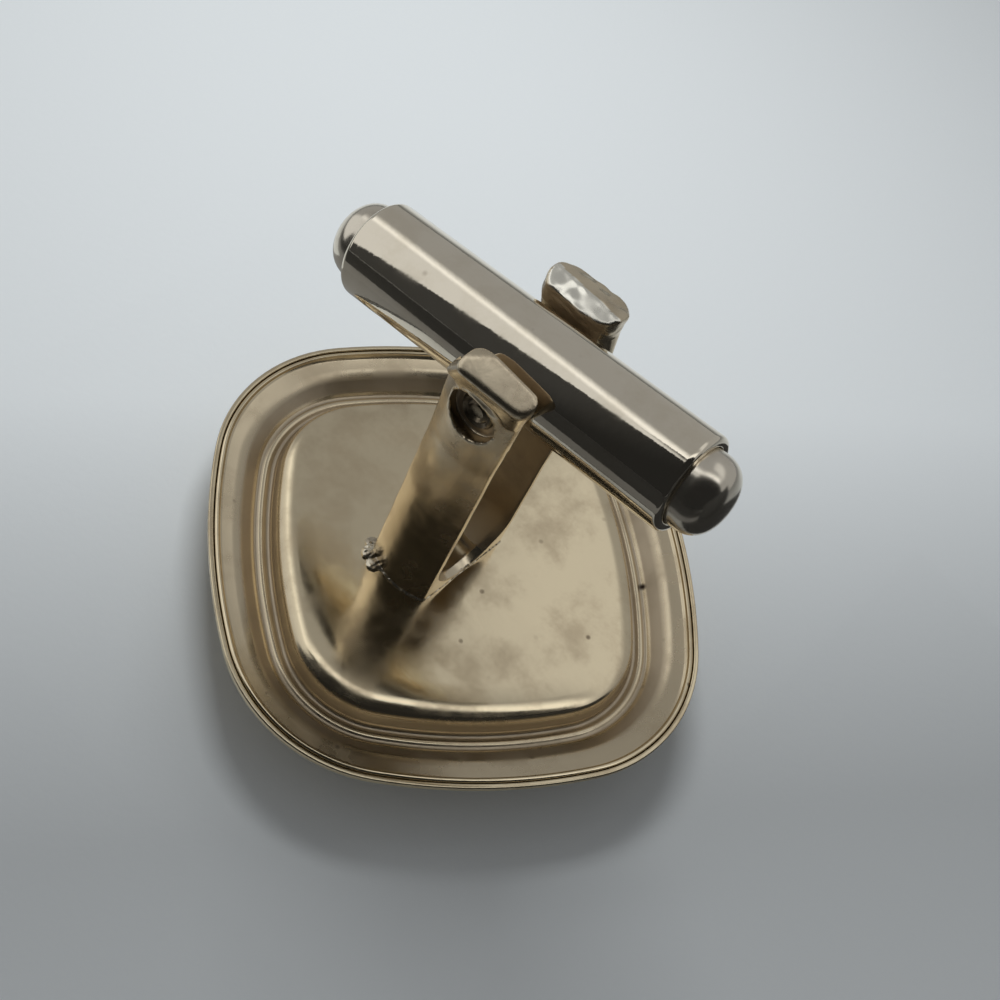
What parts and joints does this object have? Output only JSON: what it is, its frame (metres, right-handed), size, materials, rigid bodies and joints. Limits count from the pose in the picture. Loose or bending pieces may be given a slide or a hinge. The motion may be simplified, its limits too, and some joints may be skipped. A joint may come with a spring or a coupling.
{
  "type": "cufflink",
  "caption": "Swivel-bar cufflink: cushion-shaped face, stamped back plate, two-legged post and a round toggle bar that turns on a pin between the legs.",
  "frame": {"origin": "on the table under the middle of the face, when the cufflink lies on its face", "axes": "+Z runs from the face up the post, +X runs along the toggle bar seen from above, and +Y runs along the pivot pin"},
  "size_m": [0.0242, 0.0242, 0.0204],
  "materials": {
    "shell_plating": "polished pale gold plating, worn at the edge",
    "back_plating": "polished pale gold plating with fine pits and smudges",
    "post_plating": "pale gold plating, satin and patchy",
    "solder": "dull grey solder",
    "pin_metal": "dark, unpolished",
    "bar_plating": "mirror-bright pale plating",
    "plug_plating": "bright pale plating, lightly dulled",
    "spring_steel": "hard-rolled spring steel"
  },
  "bodies": {
    "link": {"face_shell": "shell_plating", "back_plate": "back_plating", "post": "post_plating", "solder_fillet": "solder", "pivot_pin": "pin_metal"},
    "bar": {"toggle_tube": "bar_plating", "end_plug_left": "plug_plating", "end_plug_right": "plug_plating", "toggle_spring": "spring_steel"}
  },
  "joints": [
    {"name": "bar_swivel", "type": "hinge", "parent": "link", "child": "bar", "pos_m": [-0.0008, -0.00075, 0.01593], "axis": [0, 1, 0], "continuous": true, "deforming": ["toggle_spring"]}
  ]
}
